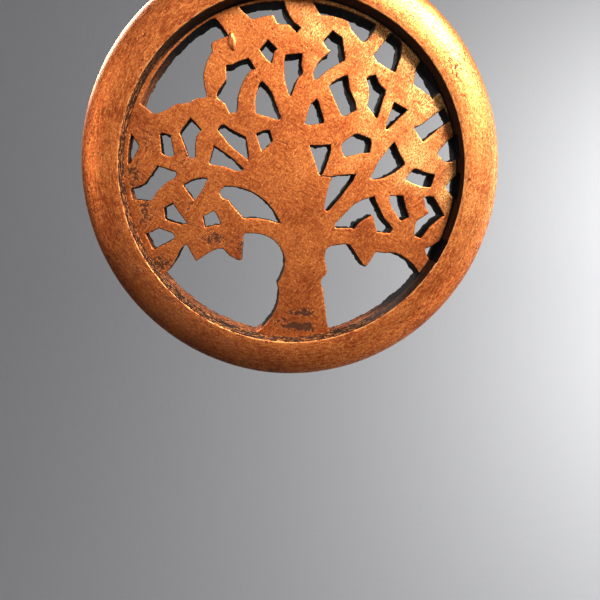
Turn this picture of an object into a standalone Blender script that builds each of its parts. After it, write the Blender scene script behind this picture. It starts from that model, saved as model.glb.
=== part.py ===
"""Clay tree-of-life wall plaque.

A round clay slab is pierced with forty knife-cut openings, and what is left between them is a tree.
A moulded rim ring is luted on the slab's face, with a luting coil pressed into the outside seam.
A wire bail swings in a recess in the back, for hanging on a nail.

Frame: metres, +Z up. The plaque stands as it hangs. Its face looks along -Y, its flat back lies in
the plane Y = 0, and the middle of the disc is at X = 0, Z = 0. Outlines are listed in millimetres.
"""
import math
from collections import namedtuple

import bmesh
import bpy
from mathutils import Matrix, Vector

MM = 0.001

# ---- Driving dimensions, in millimetres ----
DISC_RADIUS = 75.0
SLAB_THICKNESS = 9.5
RIM_HEIGHT = 5.5
FIT_GAP = 0.3
DISC_SEGMENTS = 108

# Rim ring: tapered inner wall, small rounded arris, low crest, then an elliptical roll to the edge.
RING_BASE_RADIUS = 60.1
ARRIS_RADIUS = 60.7
ARRIS_FILLET = 0.5
CREST_RADIUS = 64.5
CREST_RISE = 0.3
ROLL_STEPS = 9
SEAM_ANGLE = math.radians(15.0)

# Slab edge.
BACK_CHAMFER = 1.0

# How far a cutter runs on past what it cuts.
CUT_PAST = 1.0

# The knife leaned a little, so an opening's back outline lies this far from its front one (x, z).
KNIFE_LEAN = (-0.7, -0.3)
ARC_STEP = 2.6

# Recess for the bail, in the back of the slab above the tree.
RECESS_HALF_WIDTH = 7.5
RECESS_BOTTOM = 60.6
RECESS_TOP = 71.8
RECESS_DEPTH = 4.6
RECESS_CORNER = 1.6

# Wire bail: pin ends turned outward into two blind holes.
WIRE_RADIUS = 0.8
BAIL_HEIGHT = 66.0
BAIL_DEPTH = 2.6
BAIL_REACH = 3.9
BAIL_HALF_SPAN = 5.6
BAIL_PIN_END = 9.9
BEND_RADIUS = 1.3
BEND_STEPS = 4
HOLE_RADIUS = 0.9
HOLE_END = 10.4
HOLE_SIDES = 20

# Dried drop of slip on the tree's face.
DROP_CENTRE = (-21.3, 44.8)
DROP_HALF_SIZE = (1.60, 0.90, 3.00)
DROP_TILT = math.radians(-8.0)

FACE_Y = -SLAB_THICKNESS
RING_BASE_Y = FACE_Y - FIT_GAP
RING_FRONT_Y = FACE_Y - RIM_HEIGHT

# ---- Openings, as seen from the front ----
# Each outline runs clockwise. A corner's bow is how far the edge from it to the next corner swells
# out of a straight line: positive makes the opening larger. RIM follows the disc's own curve.
RIM = "rim"
Corner = namedtuple("Corner", "x z bow", defaults=(0.0,))


def corners(*values):
    """Turn (x, z) and (x, z, bow) tuples into corners."""
    return [Corner(*value) for value in values]


OPENINGS = {
    "beside_trunk_left": corners(
        (-47.9, -36.3), (-46.1, -35.0), (-43.7, -31.7), (-41.7, -27.6, 0.2), (-39.6, -25.3),
        (-38.9, -25.2), (-36.0, -30.9), (-35.4, -31.2), (-31.1, -28.2, 0.2), (-27.0, -26.6),
        (-25.8, -26.6), (-23.2, -29.3), (-20.2, -30.9), (-18.9, -30.8), (-18.2, -21.8),
        (-17.4, -20.9), (-13.8, -20.9, 2.7), (-3.0, -30.6, 0.7), (-5.7, -39.7), (-5.2, -43.0, 2.2),
        (-13.6, -58.5, RIM)),
    "beside_trunk_right": corners(
        (14.6, -58.5), (13.3, -54.7), (12.4, -47.6), (11.8, -42.9), (10.8, -39.4), (10.9, -38.2),
        (12.7, -35.9), (13.0, -34.9), (12.5, -32.8), (11.8, -29.8), (12.4, -26.9, 0.3),
        (14.8, -25.3), (19.2, -24.7), (21.2, -24.9), (26.1, -32.2), (27.4, -33.2), (28.3, -32.4),
        (30.8, -28.1), (31.5, -27.6), (34.5, -28.0), (38.6, -28.0, 1.2), (48.1, -36.1, RIM)),
    "rim_upper_left": corners(
        (-53.5, 24.0, RIM), (-28.8, 51.5), (-27.3, 51.9), (-26.1, 51.1), (-22.7, 46.6),
        (-26.4, 45.2), (-28.2, 44.4), (-28.6, 43.3), (-28.2, 41.5), (-29.4, 39.6, -0.4),
        (-31.5, 33.5, -0.2), (-30.6, 27.6), (-30.8, 26.3), (-33.8, 26.1), (-36.7, 24.6),
        (-41.4, 23.9, 0.3), (-47.9, 20.7), (-49.1, 20.7)),
    "rim_top_left": corners(
        (-18.8, 55.6, RIM), (-3.6, 57.9, -1.2), (2.1, 49.6), (0.8, 48.1), (-1.8, 50.6),
        (-4.9, 50.7), (-6.0, 51.1), (-7.1, 53.3), (-7.9, 53.5), (-10.8, 53.0), (-14.1, 52.0),
        (-15.2, 52.4)),
    "rim_top_right": corners(
        (6.4, 57.6, RIM), (28.0, 51.3), (27.7, 49.5), (25.1, 46.1), (24.0, 45.5), (22.4, 46.7),
        (19.8, 49.4), (18.3, 52.2), (16.2, 53.0), (12.4, 53.8), (8.9, 53.9)),
    "crown_diamond": corners(
        (-9.2, 45.5), (-6.1, 42.7), (-7.0, 41.7), (-7.9, 38.0), (-9.4, 39.1), (-12.0, 42.4)),
    "crown_wedge": corners(
        (-3.2, 40.7), (2.7, 41.4), (2.4, 37.4), (2.9, 35.5), (2.7, 34.6), (1.2, 33.5),
        (-1.1, 27.3), (-1.7, 27.7), (-3.2, 32.6, 0.2)),
    "crown_hook": corners(
        (13.1, 48.9), (16.5, 46.7), (16.9, 43.5), (17.6, 40.2), (17.5, 39.4), (15.9, 38.6),
        (11.8, 36.3), (8.0, 33.0), (7.0, 33.2), (6.7, 34.6, 0.4), (9.2, 39.5), (11.8, 41.7),
        (12.6, 42.6), (11.5, 43.2), (10.1, 45.2), (10.5, 46.3)),
    "crown_kite": corners(
        (32.9, 48.6), (34.2, 48.5), (36.8, 46.4), (37.4, 44.9), (37.1, 40.8), (35.5, 35.9),
        (34.3, 36.4), (29.0, 39.4), (27.6, 41.4), (28.3, 42.0), (31.5, 46.0)),
    "rim_right_1": corners(
        (44.2, 39.8, RIM), (51.8, 29.4), (49.2, 27.4), (48.6, 28.2), (45.4, 30.2), (42.4, 32.0),
        (42.7, 35.5), (43.2, 38.0)),
    "rim_right_2": corners(
        (53.7, 24.2), (56.1, 19.7), (53.0, 17.9), (47.7, 13.4), (46.7, 12.5), (45.4, 14.2),
        (43.1, 17.2), (46.2, 18.6), (49.8, 21.4)),
    "rim_right_3": corners(
        (58.9, 15.2, RIM), (60.5, 7.0), (57.7, 5.7), (55.5, 5.3), (52.4, 8.1), (52.7, 9.2),
        (56.2, 13.2)),
    "rim_right_4": corners(
        (61.0, 1.6, RIM), (60.5, -7.8), (58.3, -6.4), (56.2, -3.9), (56.4, -3.0), (58.3, -0.5)),
    "rim_right_5": corners(
        (56.6, -22.7, RIM), (52.6, -31.0), (51.8, -30.6), (50.6, -28.8), (49.8, -27.0),
        (50.0, -26.2), (52.1, -25.3), (54.2, -23.8)),
    "crown_boot": corners(
        (-23.6, 37.0), (-21.7, 37.1), (-18.2, 38.7), (-15.8, 39.4), (-13.6, 36.0),
        (-14.9, 35.8, -0.6), (-19.6, 27.3), (-20.1, 21.4), (-22.6, 21.4), (-24.1, 24.4),
        (-26.6, 26.1), (-27.0, 27.0), (-26.7, 28.2), (-23.5, 32.6)),
    "crown_sail": corners(
        (-11.1, 31.9, 0.3), (-7.9, 28.2), (-4.8, 20.4), (-4.9, 19.4), (-6.1, 19.4), (-13.3, 21.4),
        (-13.6, 25.2, 0.2), (-11.9, 31.6)),
    "crown_tent": corners(
        (7.9, 26.4), (8.6, 25.6), (10.6, 19.2), (10.5, 18.4), (5.4, 17.7), (4.0, 18.1),
        (5.4, 23.5), (6.5, 25.2)),
    "crown_leaf_upright": corners(
        (12.3, 30.7), (13.3, 32.0), (17.1, 34.1), (18.7, 34.4), (19.5, 29.9), (21.7, 25.4),
        (22.0, 22.9), (20.1, 22.0), (18.3, 20.8), (17.1, 21.1), (13.9, 27.3)),
    "crown_arrow": corners(
        (25.5, 33.6), (26.5, 34.4), (28.6, 34.8), (29.8, 32.0), (32.3, 29.6), (31.9, 28.0),
        (29.9, 20.6), (29.2, 20.4), (27.7, 22.8), (26.1, 24.4), (26.7, 28.4), (26.4, 30.8)),
    "crown_triangle_right": corners(
        (35.6, 25.7), (40.5, 23.3), (40.1, 22.8), (33.7, 16.6), (33.0, 16.7), (33.4, 18.8)),
    "left_brick": corners(
        (-47.1, 13.9), (-46.0, 14.1), (-43.5, 13.4), (-42.4, 6.7), (-43.2, 6.1), (-44.8, 6.3),
        (-46.7, 7.2)),
    "left_dart": corners(
        (-36.3, 19.4), (-32.6, 15.4), (-34.4, 13.1), (-34.8, 11.3), (-35.1, 5.7), (-37.0, 5.6),
        (-39.6, 12.8), (-40.1, 14.4), (-39.6, 15.3)),
    "left_fish": corners(
        (-26.9, 15.6), (-26.0, 16.9), (-24.6, 17.2), (-22.6, 15.9), (-17.1, 13.1), (-16.0, 6.9),
        (-16.3, 5.4), (-20.5, 8.6), (-22.6, 10.4), (-25.8, 14.2)),
    "middle_chip": corners(
        (-13.3, 14.4), (-10.2, 15.5), (-8.5, 15.6), (-7.5, 11.9), (-8.8, 10.9), (-9.1, 10.1),
        (-11.4, 8.7)),
    "left_triangle": corners(
        (-28.3, 10.1), (-22.6, 6.3), (-18.0, 2.2), (-18.6, 1.3), (-21.0, 1.6), (-24.6, 2.9),
        (-29.6, 3.6), (-30.1, 4.2)),
    "left_bird": corners(
        (-48.5, 2.9), (-42.3, 1.0), (-41.7, 0.1), (-42.6, -1.5), (-45.2, -2.7), (-48.8, -6.1),
        (-50.8, -9.0), (-51.7, -9.4), (-57.6, -8.9), (-58.2, -5.5), (-53.5, -3.7), (-51.1, -0.8)),
    "left_shield": corners(
        (-39.5, -3.7, 0.5), (-32.6, -1.1), (-30.8, -1.6), (-33.2, -6.1), (-35.8, -9.1),
        (-38.8, -4.7)),
    "leaf_left": corners(
        (-26.4, -5.5), (-24.9, -4.2), (-22.3, -4.0, 3.1), (-4.6, -17.1), (-5.5, -17.1),
        (-9.1, -15.9), (-13.2, -15.3), (-17.9, -15.4), (-22.3, -10.5), (-23.2, -8.9),
        (-25.5, -8.3), (-26.6, -6.4)),
    "left_low_wedge": corners(
        (-46.7, -11.9), (-43.5, -10.2), (-41.4, -13.5), (-38.4, -17.4), (-40.8, -17.8),
        (-44.9, -16.6), (-46.3, -15.9)),
    "left_low_square": corners(
        (-32.9, -15.0), (-28.9, -12.9), (-28.2, -13.4), (-26.4, -17.2), (-26.9, -17.9),
        (-28.2, -17.9), (-32.0, -18.8)),
    "left_low_slab": corners(
        (-53.6, -21.3), (-52.3, -21.0), (-48.8, -19.3), (-44.1, -20.9), (-43.3, -21.8),
        (-43.3, -22.8), (-44.4, -23.8), (-49.4, -26.2), (-50.4, -27.0), (-51.3, -26.6)),
    "rim_left_sliver": corners(
        (-57.1, 13.9), (-56.3, 12.5), (-54.6, 9.5), (-56.1, 6.6), (-58.0, 3.5), (-58.8, 3.5, RIM)),
    "right_fang": corners(
        (5.8, 10.7), (9.5, 10.6), (13.3, 11.0), (13.4, 9.5, 0.2), (10.6, 0.7), (9.9, 0.1),
        (9.3, 0.7)),
    "right_bell": corners(
        (20.6, 13.9), (21.8, 14.7), (23.3, 14.7), (27.4, 13.2), (27.9, 11.9), (27.4, 8.4),
        (23.9, 8.1), (19.2, 6.9), (18.4, 6.9), (17.3, 9.2), (17.3, 11.0), (18.3, 12.2)),
    "right_fin": corners(
        (36.4, 12.0), (38.0, 8.6), (40.2, 5.1), (40.2, 4.2, 0.5), (32.7, -0.5), (28.9, -1.1),
        (28.1, -0.5), (30.9, 5.4), (34.8, 10.4), (35.8, 11.8)),
    "right_dagger": corners(
        (14.5, -0.2), (18.3, 0.4), (22.6, 0.6), (21.5, -1.9), (17.1, -7.8), (13.3, -12.2),
        (12.3, -12.7), (11.5, -11.6), (12.1, -6.9), (13.4, -2.2)),
    "right_block": corners(
        (43.6, 2.5), (44.5, 2.9), (48.0, 1.6), (51.7, 0.7), (50.4, -3.7), (47.4, -3.4),
        (43.3, -2.1), (41.1, -1.1), (42.1, 0.7)),
    "leaf_right": corners(
        (15.5, -18.1), (15.6, -17.1), (22.4, -10.1), (25.9, -8.3), (29.8, -7.2), (30.4, -9.0),
        (33.6, -15.0), (37.0, -18.8), (36.1, -20.5), (31.4, -20.1), (30.2, -16.5), (29.3, -13.8),
        (25.9, -15.7), (24.2, -17.1), (22.6, -19.2), (21.5, -18.7), (15.8, -18.7)),
    "right_slot": corners(
        (35.4, -6.9), (40.4, -6.8), (41.5, -11.1), (42.9, -14.6), (40.1, -16.0), (38.0, -13.2),
        (36.5, -11.1), (35.6, -8.6)),
    "right_arrow": corners(
        (48.1, -7.4), (50.1, -6.9), (51.7, -7.2), (54.5, -11.4), (56.2, -13.9), (54.8, -14.7),
        (50.9, -18.2), (48.0, -22.4), (45.4, -21.5), (45.6, -17.1), (46.2, -15.9), (50.4, -13.0),
        (49.2, -11.1)),
}

# Openings that were cut with the knife held at another slant (x, z), in place of KNIFE_LEAN.
OWN_LEAN = {
    "beside_trunk_left": (-0.2, -0.4),
    "beside_trunk_right": (-0.3, -0.8),
    "rim_upper_left": (-0.2, -0.5),
    "rim_right_2": (0.3, -0.3),
    "rim_left_sliver": (-0.9, -0.2),
    "left_bird": (-0.9, -0.2),
}

# These openings ran on into the inner wall of the ring: the first two only into its foot.
LOW_NICKS = ("rim_right_3", "rim_right_4")
FULL_NICKS = ("rim_right_5",)
LOW_NICK_HEIGHT = 2.2


# ---- Helpers ----
def clear_scene():
    """Remove every object of the open file."""
    for thing in list(bpy.data.objects):
        bpy.data.objects.remove(thing, do_unlink=True)


def make_material(name, colour, roughness, metallic):
    """Return a Principled material."""
    material = bpy.data.materials.new(name)
    material.use_nodes = True
    shader = material.node_tree.nodes["Principled BSDF"]
    shader.inputs["Base Color"].default_value = (*colour, 1.0)
    shader.inputs["Roughness"].default_value = roughness
    shader.inputs["Metallic"].default_value = metallic
    return material


def add_object(name, bm, material=None, smooth_angle=None):
    """Turn a bmesh into a linked object, with its normals pointing out."""
    bmesh.ops.recalc_face_normals(bm, faces=bm.faces)
    mesh = bpy.data.meshes.new(name)
    bm.to_mesh(mesh)
    bm.free()
    thing = bpy.data.objects.new(name, mesh)
    bpy.context.scene.collection.objects.link(thing)
    if material:
        mesh.materials.append(material)
    if smooth_angle:
        mesh.shade_smooth()
        mesh.set_sharp_from_angle(angle=smooth_angle)
    return thing


def cut(target, cutter):
    """Take a hidden cutter away from an object."""
    cutter.hide_render = True
    cutter.display_type = "WIRE"
    modifier = target.modifiers.new(cutter.name, "BOOLEAN")
    modifier.operation = "DIFFERENCE"
    modifier.solver = "EXACT"
    modifier.object = cutter


def point(x, y, z):
    """Return a point given in millimetres as a vector in metres."""
    return Vector((x, y, z)) * MM


def rim_arc(start, end):
    """Points between two corners on a curve about the disc's centre."""
    angle = math.atan2(start.z, start.x)
    turn = math.atan2(end.z, end.x) - angle
    turn = (turn + math.pi) % (2 * math.pi) - math.pi
    first = math.hypot(start.x, start.z)
    last = math.hypot(end.x, end.z)
    steps = max(2, math.ceil(abs(turn) * first / ARC_STEP))
    ring = []
    for step in range(1, steps):
        part = step / steps
        radius = first + (last - first) * part
        ring.append((radius * math.cos(angle + turn * part), radius * math.sin(angle + turn * part)))
    return ring


def bowed_edge(start, end):
    """Points between two corners on an arc that swells by the first corner's bow."""
    along = Vector((end.x - start.x, end.z - start.z))
    outward = Vector((-along.y, along.x)).normalized()
    steps = max(2, math.ceil(along.length / ARC_STEP))
    edge = []
    for step in range(1, steps):
        part = step / steps
        swell = outward * (4 * start.bow * part * (1 - part))
        place = Vector((start.x, start.z)) + along * part + swell
        edge.append((place.x, place.y))
    return edge


def outline(shape):
    """Return an opening's outline as (x, z) points, with its curved stretches filled in."""
    points = []
    for start, end in zip(shape, shape[1:] + shape[:1]):
        points.append((start.x, start.z))
        if start.bow == RIM:
            points += rim_arc(start, end)
        elif start.bow:
            points += bowed_edge(start, end)
    return points


def shifted(points, lean):
    """Return an outline moved by the knife's lean."""
    return [(x + lean[0], z + lean[1]) for x, z in points]


def circle(radius):
    """Return the disc's outline at a radius."""
    turns = [2 * math.pi * step / DISC_SEGMENTS for step in range(DISC_SEGMENTS)]
    return [(radius * math.cos(turn), radius * math.sin(turn)) for turn in turns]


def rounded_recess():
    """Return the outline of the bail's recess, with round corners."""
    half = RECESS_HALF_WIDTH - RECESS_CORNER
    middles = ((half, RECESS_TOP - RECESS_CORNER, 0.0), (-half, RECESS_TOP - RECESS_CORNER, 90.0),
               (-half, RECESS_BOTTOM + RECESS_CORNER, 180.0), (half, RECESS_BOTTOM + RECESS_CORNER, 270.0))
    points = []
    for x, z, first in middles:
        for step in range(4):
            turn = math.radians(first + 30.0 * step)
            points.append((x + RECESS_CORNER * math.cos(turn), z + RECESS_CORNER * math.sin(turn)))
    return points


def add_loop(bm, points, y):
    """Add a closed loop of edges in the plane Y = y, and return its vertices and edges."""
    verts = [bm.verts.new(point(x, y, z)) for x, z in points]
    edges = [bm.edges.new((verts[i - 1], verts[i])) for i in range(len(verts))]
    return verts, edges


def wall(bm, first, second):
    """Join two loops of equal length with a band of faces."""
    for i in range(len(first)):
        bm.faces.new((first[i - 1], first[i], second[i], second[i - 1]))


def fill(bm, edges):
    """Fill flat loops of edges, leaving the inner ones open."""
    bmesh.ops.triangle_fill(bm, use_beauty=True, use_dissolve=False, edges=edges)


def prism(bm, points, y_front, y_back):
    """Add a closed straight prism with its ends at two depths."""
    loops = [add_loop(bm, points, y) for y in (y_front, y_back)]
    wall(bm, loops[0][0], loops[1][0])
    for verts, edges in loops:
        fill(bm, edges)


# ---- Sub-parts ----
def build_tree_panel(material):
    """The pierced slab, with its chamfered edge and the recess for the bail."""
    bm = bmesh.new()
    front_edges = []
    back_edges = []
    seam = RIM_HEIGHT * math.sin(SEAM_ANGLE) + FIT_GAP
    profile = ((DISC_RADIUS - seam, FACE_Y), (DISC_RADIUS, FACE_Y + seam),
               (DISC_RADIUS, -BACK_CHAMFER), (DISC_RADIUS - BACK_CHAMFER, 0.0))
    rings = [add_loop(bm, circle(radius), y) for radius, y in profile]
    for near, far in zip(rings, rings[1:]):
        wall(bm, near[0], far[0])
    front_edges += rings[0][1]
    back_edges += rings[-1][1]
    for name, shape in OPENINGS.items():
        points = outline(shape)
        front, edges = add_loop(bm, points, FACE_Y)
        front_edges += edges
        back, edges = add_loop(bm, shifted(points, OWN_LEAN.get(name, KNIFE_LEAN)), 0.0)
        back_edges += edges
        wall(bm, front, back)
    mouth, edges = add_loop(bm, rounded_recess(), 0.0)
    back_edges += edges
    floor, floor_edges = add_loop(bm, rounded_recess(), -RECESS_DEPTH)
    wall(bm, mouth, floor)
    for edges in (front_edges, back_edges, floor_edges):
        fill(bm, edges)
    panel = add_object("tree_panel", bm, material)
    cut(panel, build_bail_hole_cutter())
    return panel


def build_bail_hole_cutter():
    """The two blind holes in the sides of the recess, which the bail's pins turn in."""
    bm = bmesh.new()
    start = RECESS_HALF_WIDTH - RECESS_CORNER / 2
    for side in (-1, 1):
        middle = point(side * (start + HOLE_END) / 2, -BAIL_DEPTH, BAIL_HEIGHT)
        place = Matrix.Translation(middle) @ Matrix.Rotation(math.pi / 2, 4, "Y")
        bmesh.ops.create_cone(
            bm, cap_ends=True, segments=HOLE_SIDES, radius1=HOLE_RADIUS * MM, radius2=HOLE_RADIUS * MM,
            depth=(HOLE_END - start) * MM, matrix=place)
    return add_object("bail_hole_cutter", bm)


def ring_profile():
    """Return the ring's section as (radius, y) points, from the foot of its inner wall."""
    points = [(RING_BASE_RADIUS, RING_BASE_Y)]
    middle_r = ARRIS_RADIUS + ARRIS_FILLET
    middle_y = RING_FRONT_Y + ARRIS_FILLET
    for step in range(4):
        turn = math.radians(30.0 * step)
        points.append((middle_r - ARRIS_FILLET * math.cos(turn), middle_y - ARRIS_FILLET * math.sin(turn)))
    for part in (0.35, 0.7):
        radius = middle_r + (CREST_RADIUS - middle_r) * part
        points.append((radius, RING_FRONT_Y - CREST_RISE * (1 - (1 - part) ** 2)))
    roll_width = DISC_RADIUS - CREST_RADIUS
    roll_height = RING_BASE_Y - RING_FRONT_Y + CREST_RISE
    for step in range(ROLL_STEPS + 1):
        turn = math.pi / 2 + (SEAM_ANGLE - math.pi / 2) * step / ROLL_STEPS
        points.append((CREST_RADIUS + roll_width * math.cos(turn), RING_BASE_Y - roll_height * math.sin(turn)))
    outer_r, outer_y = points[-1]
    points.append((outer_r - (RING_BASE_Y - outer_y), RING_BASE_Y))
    return points


def turned(bm, profile):
    """Turn a closed (radius, y) section about the disc's axis."""
    loops = [[bm.verts.new(point(x, y, z)) for x, z in circle(radius)] for radius, y in profile]
    for near, far in zip(loops, loops[1:] + loops[:1]):
        wall(bm, near, far)


def build_rim_ring(material):
    """The moulded rim, nicked where three openings ran on into its inner wall."""
    bm = bmesh.new()
    turned(bm, ring_profile())
    ring = add_object("rim_ring", bm, material, smooth_angle=math.radians(40))
    cut(ring, build_nick_cutter())
    return ring


def build_nick_cutter():
    """The openings that nick the ring, run on straight into its foot or through its height."""
    bm = bmesh.new()
    for name in LOW_NICKS + FULL_NICKS:
        front = RING_BASE_Y - LOW_NICK_HEIGHT if name in LOW_NICKS else RING_FRONT_Y - CUT_PAST
        prism(bm, outline(OPENINGS[name]), front, RING_BASE_Y + CUT_PAST)
    return add_object("nick_cutter", bm)


def build_luting_coil(material):
    """The coil pressed into the V-shaped seam between ring and slab, flush with the edge."""
    seam = RIM_HEIGHT * math.sin(SEAM_ANGLE) + FIT_GAP
    root = DISC_RADIUS - seam + FIT_GAP
    middle_y = FACE_Y - FIT_GAP / 2
    reach = seam - 2 * FIT_GAP
    profile = ((root, middle_y), (root + reach, middle_y - reach), (DISC_RADIUS, middle_y),
               (root + reach, middle_y + reach))
    bm = bmesh.new()
    turned(bm, profile)
    return add_object("luting_coil", bm, material, smooth_angle=math.radians(50))


def build_slip_drop(material):
    """The dried drop: a low dome on the face, cut flat behind."""
    bm = bmesh.new()
    bmesh.ops.create_uvsphere(bm, u_segments=20, v_segments=12, radius=1.0)
    scale = Matrix.Diagonal((*(size * MM for size in DROP_HALF_SIZE), 1.0))
    base = point(DROP_CENTRE[0], RING_BASE_Y, DROP_CENTRE[1])
    place = Matrix.Translation(base) @ Matrix.Rotation(DROP_TILT, 4, "Y") @ scale
    bmesh.ops.transform(bm, matrix=place, verts=bm.verts)
    everything = bm.verts[:] + bm.edges[:] + bm.faces[:]
    bmesh.ops.bisect_plane(bm, geom=everything, plane_co=base, plane_no=(0, 1, 0), clear_outer=True)
    rim = [edge for edge in bm.edges if edge.is_boundary]
    bmesh.ops.holes_fill(bm, edges=rim)
    return add_object("slip_drop", bm, material, smooth_angle=math.radians(50))


def bail_path():
    """Return the bail's centre line from pin to pin as (x, z), measured from its axis."""
    leg = BAIL_HALF_SPAN
    right = [(BAIL_PIN_END, 0.0)]
    for step in range(BEND_STEPS + 1):
        turn = math.pi / 2 * step / BEND_STEPS
        right.append((leg + BEND_RADIUS * (1 - math.sin(turn)), -BEND_RADIUS * (1 - math.cos(turn))))
    for step in range(BEND_STEPS + 1):
        turn = math.pi / 2 * step / BEND_STEPS
        inner = leg - BEND_RADIUS
        right.append((inner + BEND_RADIUS * math.cos(turn),
                      -BAIL_REACH + BEND_RADIUS * (1 - math.sin(turn))))
    return right + [(-x, z) for x, z in reversed(right)]


def build_hanging_bail(material):
    """The wire bail, hanging in its recess, with its origin on the axis of its pins."""
    curve = bpy.data.curves.new("hanging_bail", "CURVE")
    curve.dimensions = "3D"
    curve.bevel_depth = WIRE_RADIUS * MM
    curve.bevel_resolution = 3
    curve.use_fill_caps = True
    path = bail_path()
    spline = curve.splines.new("POLY")
    spline.points.add(len(path) - 1)
    for knot, (x, z) in zip(spline.points, path):
        knot.co = (*point(x, 0.0, z), 1.0)
    curve.materials.append(material)
    bail = bpy.data.objects.new("hanging_bail", curve)
    bpy.context.scene.collection.objects.link(bail)
    bail.location = point(0.0, -BAIL_DEPTH, BAIL_HEIGHT)
    return bail


def main():
    """Build the plaque."""
    clear_scene()
    tree_clay = make_material("copper_rubbed_clay", (0.56, 0.20, 0.06), 0.42, 0.55)
    ring_clay = make_material("copper_rubbed_rim", (0.58, 0.22, 0.07), 0.38, 0.60)
    seam_clay = make_material("seam_clay", (0.20, 0.08, 0.04), 0.60, 0.25)
    slip = make_material("dried_slip", (0.66, 0.30, 0.12), 0.28, 0.55)
    wire = make_material("bail_wire", (0.42, 0.41, 0.40), 0.35, 1.0)
    build_tree_panel(tree_clay)
    build_rim_ring(ring_clay)
    build_luting_coil(seam_clay)
    build_slip_drop(slip)
    build_hanging_bail(wire)


main()
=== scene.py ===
"""Looks of the clay tree-of-life wall plaque.

Copper paint is rubbed over black, pierced clay: a knife-cut tree in a moulded rim, with a luted seam
outside, a bead of dried slip on the foliage, and a wire bail in the back.

Frame: metres, +Z up. The face looks along -Y, the flat back lies in Y = 0, and the middle of the disc
is at X = 0, Z = 0. Sizes are listed in millimetres and turned into metres by MM.
"""
import logging
import math
from dataclasses import dataclass
from enum import Enum
from typing import Callable, Optional, Union

import bmesh
import bpy
from mathutils import Euler, Matrix, Vector, noise


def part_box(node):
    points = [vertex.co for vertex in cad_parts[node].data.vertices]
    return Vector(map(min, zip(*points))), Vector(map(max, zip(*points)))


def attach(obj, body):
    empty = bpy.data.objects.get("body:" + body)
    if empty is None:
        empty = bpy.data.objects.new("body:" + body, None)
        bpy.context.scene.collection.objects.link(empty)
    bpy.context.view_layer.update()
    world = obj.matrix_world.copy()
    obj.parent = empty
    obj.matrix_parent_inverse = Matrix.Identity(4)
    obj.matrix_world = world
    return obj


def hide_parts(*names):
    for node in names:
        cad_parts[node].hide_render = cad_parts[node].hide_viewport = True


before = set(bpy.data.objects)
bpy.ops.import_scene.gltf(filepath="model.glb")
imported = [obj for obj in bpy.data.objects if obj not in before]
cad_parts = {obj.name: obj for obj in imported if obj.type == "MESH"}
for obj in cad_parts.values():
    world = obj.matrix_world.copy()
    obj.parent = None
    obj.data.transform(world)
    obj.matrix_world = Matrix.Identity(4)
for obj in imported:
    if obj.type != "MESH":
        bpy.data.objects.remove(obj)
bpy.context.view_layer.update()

MM = 0.001
TOUCH = 0.01  # how close, in millimetres, counts as the same place
LOG = logging.getLogger("plaque")

Colour = tuple[float, float, float]
Point = tuple[float, float, float]


class Body(Enum):
    """The bodies that pieces ride on."""

    PLAQUE = "plaque"
    BAIL = "bail"


class Slot(Enum):
    """The record's material slots."""

    TREE = "tree_clay"
    RIM = "rim_clay"
    SEAM = "seam_clay"
    SLIP = "dried_slip"
    WIRE = "bail_wire"


# ---------------------------------------------------------------- shader maths
class Wire:
    """One output socket of a node tree. Arithmetic on it adds Math nodes."""

    def __init__(self, graph: "Graph", socket: bpy.types.NodeSocket) -> None:
        """Keep the socket and the graph that its maths is added to."""
        self.graph = graph
        self.socket = socket

    def _join(self, operation: str, first: "Number", second: "Number") -> "Wire":
        """Return the result of a Math node on two numbers."""
        return self.graph.add("ShaderNodeMath", {"operation": operation}, {0: first, 1: second})

    def __add__(self, other: "Number") -> "Wire":
        """Add."""
        return self._join("ADD", self, other)

    __radd__ = __add__

    def __mul__(self, other: "Number") -> "Wire":
        """Multiply."""
        return self._join("MULTIPLY", self, other)

    __rmul__ = __mul__

    def __sub__(self, other: "Number") -> "Wire":
        """Take away."""
        return self._join("SUBTRACT", self, other)

    def __rsub__(self, other: "Number") -> "Wire":
        """Take this away from a number."""
        return self._join("SUBTRACT", other, self)

    def higher(self, other: "Number") -> "Wire":
        """Return the larger of this and another number."""
        return self._join("MAXIMUM", self, other)

    def lower(self, other: "Number") -> "Wire":
        """Return the smaller of this and another number."""
        return self._join("MINIMUM", self, other)

    def rise(self, start: float, end: float) -> "Wire":
        """Return 0 before start, 1 past end and a smooth step between. End may lie below start."""
        if end < start:
            return 1.0 - self.rise(end, start)
        settings = {"interpolation_type": "SMOOTHSTEP"}
        return self.graph.add("ShaderNodeMapRange", settings, {0: self, 1: start, 2: end})


Number = Union[float, Wire]


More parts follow.
